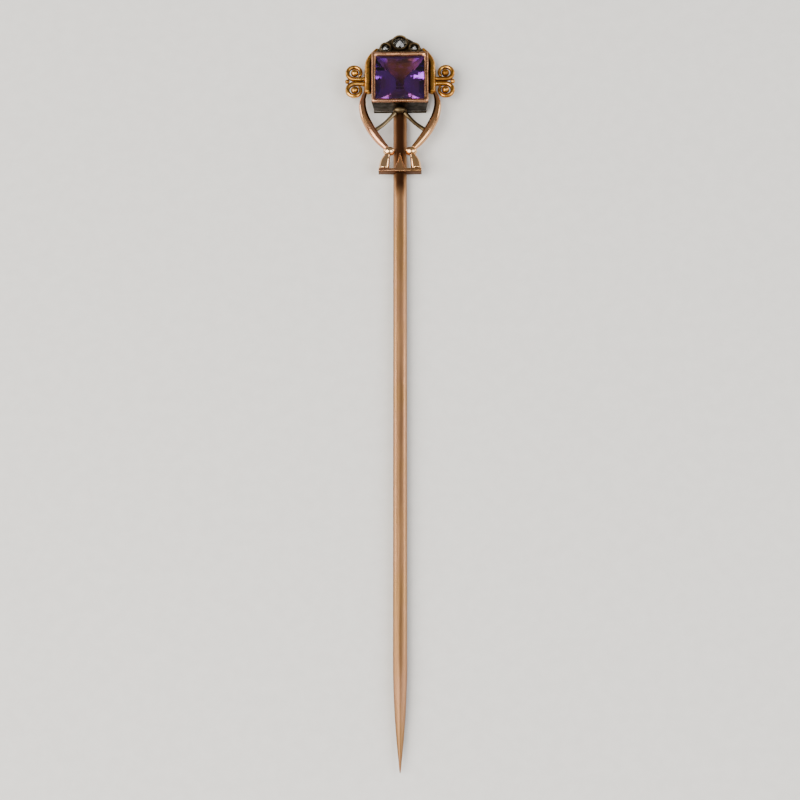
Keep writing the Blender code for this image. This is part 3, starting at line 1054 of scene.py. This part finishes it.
@dataclass
class Crest:
    """The dark pediment above the stone, grained at its edge, with three round settings."""

    edge_grain: float = 0.075
    setting_grain: float = 0.050
    setting_wall: float = 0.17
    outline: tuple[tuple[float, float], ...] = (
        (1.93, 2.26), (1.93, 2.75), (1.62, 3.25), (1.15, 3.68), (0.62, 4.03), (0.0, 4.20),
    )

    def edge_run(self) -> list[Vector]:
        """The pediment's outline.

        Returns:
            Points from the right foot over the top to the left foot, in metres.
        """
        half = [Station(x, y, 0.0, 1.0) for x, y in self.outline]
        whole = half + on_side(Side.LEFT, half[-2::-1])
        return [station.point for station in smooth_run(whole, 8)]

    def build(self) -> None:
        """Builds the pediment and its settings."""
        self.build_plate()
        for place in Place:
            self.build_setting(place)
            self.build_stone(place)

    def build_plate(self) -> None:
        """The pediment: a field sunk a little inside its border, with a grained edge."""
        low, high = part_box("crest_plate")
        foot, top = low.z / MM, high.z / MM
        form = Form()
        form.relief_plate(
            self.edge_run(),
            middle("crest_plate"),
            [
                (0.05, foot), (0.02, foot + 0.04), (0.02, top - 0.17), (0.06, top - 0.12),
                (0.16, top - 0.12), (0.20, top - 0.02), (0.30, top - 0.01), (0.50, top),
            ],
        )
        form.wear(0.010, 0.6, 11.3)
        self.add_edge_grains(form)
        form.finish("crest_plate", Shade.CREASED, DARK_SILVER)

    def add_edge_grains(self, form: Form) -> None:
        """Sets beads along the pediment's edge.

        Args:
            form: the pediment's form.
        """
        grain, inset = self.edge_grain * MM, 1.12 * self.edge_grain * MM
        centre, reach = middle("crest_plate"), half_size("crest_plate")
        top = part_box("crest_plate")[1].z
        run = [
            Vector((
                point.x * (1 - inset / reach.x),
                centre.y + (point.y - centre.y) * (1 - inset / reach.y),
                top - inset,
            ))
            for point in self.edge_run()
        ]
        walked, next_bead = 0.0, 0.3 * grain
        for start, end in zip(run, run[1:]):
            step = (end - start).length
            while next_bead <= walked + step:
                form.grain(start.lerp(end, (next_bead - walked) / step), grain)
                next_bead += grain * 2.05
            walked += step

    def build_setting(self, place: Place) -> None:
        """One round setting with a grained lip.

        Args:
            place: which of the three settings it is.
        """
        name = f"crest_{place.word}_setting"
        low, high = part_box(name)
        radius = (high.x - low.x) / 2 / MM
        height = (high.z - low.z) / MM
        centre = middle(name)
        centre.z = low.z
        bore, beading = radius - self.setting_wall, radius - 0.075
        form = Form()
        form.turned(
            [
                (radius - 0.03, 0.0), (radius, 0.06), (radius - 0.01, height - 0.16),
                (radius - 0.045, height - 0.06), (radius - 0.09, height - 0.03),
                (radius - 0.14, height - 0.06), (bore, height - 0.13), (bore, 0.0),
            ],
            centre, Vector((0, 0, 1)), 40, ring=True,
        )
        beads = round(math.tau * beading / (self.setting_grain * 2.15))
        for index in range(beads):
            turn = math.tau * index / beads
            spot = Vector((math.cos(turn), math.sin(turn), 0)) * beading * MM
            top = Vector((0, 0, (height - self.setting_grain - 0.002) * MM))
            form.grain(centre + spot + top, self.setting_grain * MM)
        form.finish(name, Shade.CREASED, DARK_SILVER)

    def build_stone(self, place: Place) -> None:
        """One rose-cut stone: six facets to its point, and a ring of triangles below them.

        Args:
            place: which of the three stones it is.
        """
        name = f"crest_{place.word}_stone"
        low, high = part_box(name)
        centre = middle(name)
        radius = (high.x - low.x) / 2
        rise = high.z - low.z
        form = Form()
        form.bm.verts.new((centre.x, centre.y, high.z))
        for share, height, sides, turn in (
            (0.55, 0.70, 6, 0.0), (1.0, 0.20, 12, 15.0), (1.0, 0.05, 12, 15.0), (0.9, 0.0, 12, 15.0),
        ):
            spot = Vector((centre.x, centre.y, low.z + rise * height))
            bmesh.ops.create_circle(
                form.bm, segments=sides, radius=radius * share,
                matrix=Matrix.Translation(spot) @ Matrix.Rotation(math.radians(turn), 4, "Z"),
            )
        bmesh.ops.convex_hull(form.bm, input=form.bm.verts[:])
        form.weld()
        form.face_outwards()
        form.finish(name, Shade.FACETED, DIAMOND)


@dataclass
class SideOrnament:
    """One side's bent rail with its two wire scrolls and their grains."""

    side: Side
    wire: float = 0.19
    curl: float = 0.18
    pegs: tuple[float, ...] = (-0.35, 1.35)
    rail: tuple[Station, ...] = (
        *level_run((2.60, -0.90, 0.31), (2.60, 0.20, 0.32), (2.60, 1.20, 0.31),
                   (2.58, 1.85, 0.29), (2.48, 2.30, 0.24), (2.26, 2.72, 0.19)),
        Station(1.97, 3.08, 1.12, 0.155), Station(1.78, 3.22, 1.14, 0.14),
    )

    def build(self) -> None:
        """Builds the rail, the scrolls and the grains."""
        name = f"{self.side.word}_side_rail"
        form = Form()
        run = smooth_run(on_side(self.side, self.rail), 8)
        form.wire(rounded_ends(run, 0.40, 0.8), 28)
        for along in self.pegs:
            ends = (Station(2.15, along, 1.0, 0.12), Station(2.45, along, 1.04, 0.12))
            form.wire(on_side(self.side, ends), 16)
        form.wear(0.014, 0.8, 21.0 + self.side.value)
        form.finish(name, Shade.SMOOTH, YELLOW_GOLD)
        for level in Level:
            self.build_scroll(level)
            self.build_grain(level.word, 31.0 + level.value)
        self.build_grain("notch", 41.0)

    def build_grain(self, word: str, seed: float) -> None:
        """One melted grain, a little flat where it sits.

        Args:
            word: where it sits in the ornament.
            seed: the number of its own pattern of wear.
        """
        wear = (0.010, 0.35, seed + self.side.value)
        melted_ball(f"{self.side.word}_{word}_grain", YELLOW_GOLD, (0.985, 0.985, 0.946), wear)

    def scroll_run(self, level: Level) -> list[Station]:
        """A scroll's wire: out from the rail, then round its grain, thinner towards its end.

        Args:
            level: which scroll of the side it is.

        Returns:
            The scroll's stations.
        """
        eye = middle(f"{self.side.word}_{level.word}_grain") / MM
        size = half_size(f"{self.side.word}_{level.word}_scroll").y / MM
        rail = self.rail[0].x * self.side.value
        outer = size - self.wire
        across = self.side.value * abs(eye.x - rail)
        run = [
            Station(rail + across * share, eye.y - level.value * drop, eye.z, self.wire)
            for share, drop in ((0.22, outer - 0.03), (0.42, outer - 0.01), (0.62, outer),
                                (0.80, outer))
        ]
        for step in range(57):
            share = step / 56
            angle = math.radians(270 + 316 * share)
            thin = self.wire * (1.0 - 0.30 * share**1.5)
            radius = outer - self.curl * max(0.0, share - 0.30) ** 1.4
            run.append(Station(
                eye.x + self.side.value * radius * math.cos(angle),
                eye.y + level.value * radius * math.sin(angle),
                eye.z, thin,
            ))
        return run

    def build_scroll(self, level: Level) -> None:
        """One wire scroll.

        Args:
            level: which scroll of the side it is.
        """
        name = f"{self.side.word}_{level.word}_scroll"
        form = Form()
        form.wire(rounded_ends(self.scroll_run(level), 0.4, 0.9), 20, 1.05)
        form.wear(0.008, 0.5, 51.0 + self.side.value + 3.0 * level.value)
        form.finish(name, Shade.SMOOTH, YELLOW_GOLD)


@dataclass
class ForkHalf:
    """One side of the fork: the arm, the waist bead, the flared foot and the strut."""

    side: Side
    arm: tuple[Station, ...] = level_run(
        (2.70, -0.50, 0.13), (2.84, -0.88, 0.16), (2.97, -1.28, 0.205), (3.05, -1.75, 0.27),
        (3.03, -2.30, 0.31), (2.82, -3.15, 0.35), (2.36, -4.15, 0.37), (1.76, -5.10, 0.335),
        (1.27, -5.70, 0.26), (1.03, -5.98, 0.21),
    )
    foot: tuple[Station, ...] = level_run(
        (0.98, -6.42, 0.22), (1.07, -6.70, 0.27), (1.14, -6.90, 0.34), (1.23, -7.22, 0.40),
        (1.29, -7.66, 0.42), (1.31, -7.90, 0.43),
    )
    strut: tuple[Station, ...] = (
        Station(0.36, -2.76, 1.35, 0.18), Station(0.82, -3.28, 1.28, 0.165),
        Station(1.32, -3.76, 1.18, 0.165), Station(2.12, -4.34, 1.10, 0.19),
    )

    def build(self) -> None:
        """Builds the four pieces."""
        word = self.side.word
        self.build_wire(f"{word}_arm", self.arm, ROSE_GOLD, (0.9, 0.35), 0.98, 61.0)
        # The foot and the waist bead take the lighter gold: a painted highlight beside their polish.
        self.build_wire(f"{word}_foot", self.foot, HIGHLIT_RUBBED_GOLD, (0.35, 0.30), 0.90, 71.0)
        self.build_wire(f"{word}_strut", self.strut, DARK_SILVER, (0.6, 0.6), 0.80, 81.0)
        wear = (0.014, 0.5, 91.0 + self.side.value)
        melted_ball(f"{word}_waist_bead", HIGHLIT_RUBBED_GOLD, (0.99, 0.96, 0.99), wear, 36)

    def build_wire(
        self,
        name: str,
        stations: Sequence[Station],
        metal: Metal,
        ends: tuple[float, float],
        flatness: float,
        seed: float,
    ) -> None:
        """One bent wire.

        Args:
            name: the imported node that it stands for.
            stations: the right side's stations.
            metal: its finish.
            ends: the rounding of its two ends, in wire radii.
            flatness: its thickness along Z over its width.
            seed: the number of its own pattern of wear.
        """
        run = smooth_run(on_side(self.side, stations), 10)
        form = Form()
        form.wire(rounded_ends(run, *ends), 28, flatness)
        form.wear(0.012, 0.9, seed + self.side.value)
        form.finish(name, Shade.SMOOTH, metal)


@dataclass
class Saddle:
    """The plate across the stem, the dart that stands on it and the boss under the stone."""

    plate_edge: float = 0.055
    arch_gap: float = -0.01
    dart_width: float = 0.46

    def build(self) -> None:
        """Builds the three pieces."""
        self.build_plate()
        self.build_dart()
        melted_ball("strut_boss", DARK_SILVER, (0.985,) * 3, (0.02, 0.4, 101.0), 32, sunk=0.03)

    def build_plate(self) -> None:
        """The saddle plate, arched to sit over the stem: rose gold on its top, with its front and
        sides painted dark as shade.
        """
        low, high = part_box("saddle_plate")
        axis = middle("pin_stem").z
        reach = half_size("pin_stem").x + self.arch_gap * MM
        form = Form()
        form.block(low, high)
        form.ease_edges(self.plate_edge, 30.0, 3)
        along_x = [
            edge for edge in form.bm.edges
            if abs(edge.verts[0].co.x - edge.verts[1].co.x) > 1.0 * MM
        ]
        bmesh.ops.subdivide_edges(form.bm, edges=along_x, cuts=55, use_grid_fill=True)
        for vert in form.bm.verts:
            if abs(vert.co.x) < reach:
                arch = axis + math.sqrt(reach**2 - vert.co.x**2)
                share = (high.z - vert.co.z) / (high.z - low.z)
                vert.co.z += max(0.0, arch - low.z) * share
        form.wear(0.010, 0.7, 111.0)
        form.face_outwards()
        # Faces that do not face up take the near-black gold: painted shade.
        for face in form.bm.faces:
            face.material_index = 1 if face.normal.z < 0.35 else 0
        form.finish("saddle_plate", Shade.CREASED, ROSE_GOLD, SHADED_ROSE_GOLD)

    def build_dart(self) -> None:
        """The dart: a low ridge that widens from its tip down to the plate."""
        low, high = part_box("saddle_dart")
        length, rise = high.y - low.y, high.z - low.z
        form = Form()
        places = []
        for share, width, height in (
            (0.0, 1.0, 1.0), (0.25, 0.78, 0.92), (0.5, 0.42, 0.82), (0.75, 0.26, 0.74),
            (0.93, 0.18, 0.62), (1.0, 0.06, 0.30),
        ):
            centre = Vector((0, low.y + length * share, low.z + rise * 0.12))
            across = Vector((self.dart_width * MM * width, 0, 0))
            up = Vector((0, 0, rise * 0.88 * height))
            along = Vector((0, MM, 0))
            matrix = Matrix((across, up, along)).transposed().to_4x4()
            places.append(Matrix.Translation(centre) @ matrix)
        form.rings(places, 24)
        for vert in form.bm.verts:
            if vert.co.z < low.z + rise * 0.12:
                vert.co.z = low.z
        form.wear(0.006, 0.6, 121.0)
        form.finish("saddle_dart", Shade.CREASED, ROSE_GOLD)


# The studio


@dataclass(frozen=True)
class Softbox:
    """A square area light that looks at the pin's middle."""

    name: str
    azimuth: float
    elevation: float
    distance: float
    size: float
    power: float
    tint: Colour

    def hang(self, target: Vector) -> None:
        """Puts the light in the scene.

        Args:
            target: the point that it faces.
        """
        lamp = bpy.data.lights.new(self.name, "AREA")
        lamp.shape = "SQUARE"
        lamp.size = self.size
        lamp.energy = self.power
        lamp.color = self.tint
        holder = put_in_scene(self.name, lamp)
        back = direction(self.azimuth, self.elevation)
        holder.location = target + back * self.distance
        holder.rotation_euler = (-back).to_track_quat("-Z", "Y").to_euler()


def direction(azimuth: float, elevation: float) -> Vector:
    """The unit vector towards a place round the pin.

    Args:
        azimuth: 0 in front of the pin's point, growing towards +X, in degrees.
        elevation: above the floor, in degrees.

    Returns:
        The vector from the pin.
    """
    turn, rise = math.radians(azimuth), math.radians(elevation)
    return Vector((
        math.sin(turn) * math.cos(rise), -math.cos(turn) * math.cos(rise), math.sin(rise)
    ))


@dataclass
class Studio:
    """A pale sheet, soft lights and a camera that looks down on the pin from its point's end."""

    azimuth: float = 1.5
    elevation: float = 66.0
    distance: float = 0.300
    lens: float = 172.0
    aim: float = -1.0
    floor_half: float = 1.6
    surround: float = 0.24
    lights: tuple[Softbox, ...] = (
        Softbox("key_light", -58.0, 50.0, 0.42, 0.40, 3.9, (1.0, 0.96, 0.90)),
        Softbox("fill_light", 66.0, 44.0, 0.50, 0.36, 2.1, (0.95, 0.97, 1.0)),
        Softbox("left_strip", -114.0, 11.0, 0.36, 0.12, 0.30, (1.0, 0.95, 0.88)),
        Softbox("right_strip", 114.0, 11.0, 0.36, 0.12, 0.30, (1.0, 0.95, 0.88)),
    )

    def build(self, target: Vector) -> None:
        """Builds the studio round the pin.

        Args:
            target: the point that the camera looks at.
        """
        self.lay_floor()
        for light in self.lights:
            light.hang(target)
        self.set_surround()
        self.set_camera(target)

    def lay_floor(self) -> None:
        """Lays the sheet that the pin lies on."""
        form = bmesh.new()
        bmesh.ops.create_grid(form, x_segments=8, y_segments=8, size=self.floor_half)
        mesh = bpy.data.meshes.new("floor")
        form.to_mesh(mesh)
        form.free()
        mesh.materials.append(Palette.get(PALE_PAPER))
        put_in_scene("floor", mesh)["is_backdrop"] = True

    def set_surround(self) -> None:
        """Fills the room round the lights with an even pale grey."""
        world = bpy.data.worlds.new("studio")
        world.use_nodes = True
        backdrop = world.node_tree.nodes["Background"]
        backdrop.inputs["Color"].default_value = (1.0, 0.985, 0.96, 1.0)
        backdrop.inputs["Strength"].default_value = self.surround
        bpy.context.scene.world = world

    def set_camera(self, target: Vector) -> None:
        """Aims the camera.

        Args:
            target: the point in the middle of the view.
        """
        lens = bpy.data.cameras.new("camera")
        lens.lens = self.lens
        lens.clip_start = 0.01
        lens.clip_end = 10.0
        camera = put_in_scene("camera", lens)
        target = target + Vector((0, self.aim * MM, 0))
        back = direction(self.azimuth, self.elevation)
        across = Vector((0, 1, 0)).cross(back).normalized()
        turn = Matrix((across, back.cross(across), back)).transposed()
        camera.location = target + back * self.distance
        camera.rotation_mode = "QUATERNION"
        camera.rotation_quaternion = turn.to_quaternion()
        bpy.context.scene.camera = camera


def main() -> None:
    """Builds every sub-assembly in order, then the studio."""
    logging.basicConfig(level=logging.INFO, format="%(message)s")
    noise.seed_set(WEAR_SEED)
    cad_low, cad_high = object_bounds()
    Stem().build()
    StoneMount().build()
    Crest().build()
    for side in Side:
        SideOrnament(side).build()
        ForkHalf(side).build()
    Saddle().build()
    Studio().build((cad_low + cad_high) / 2)


if __name__ == "__main__":
    main()
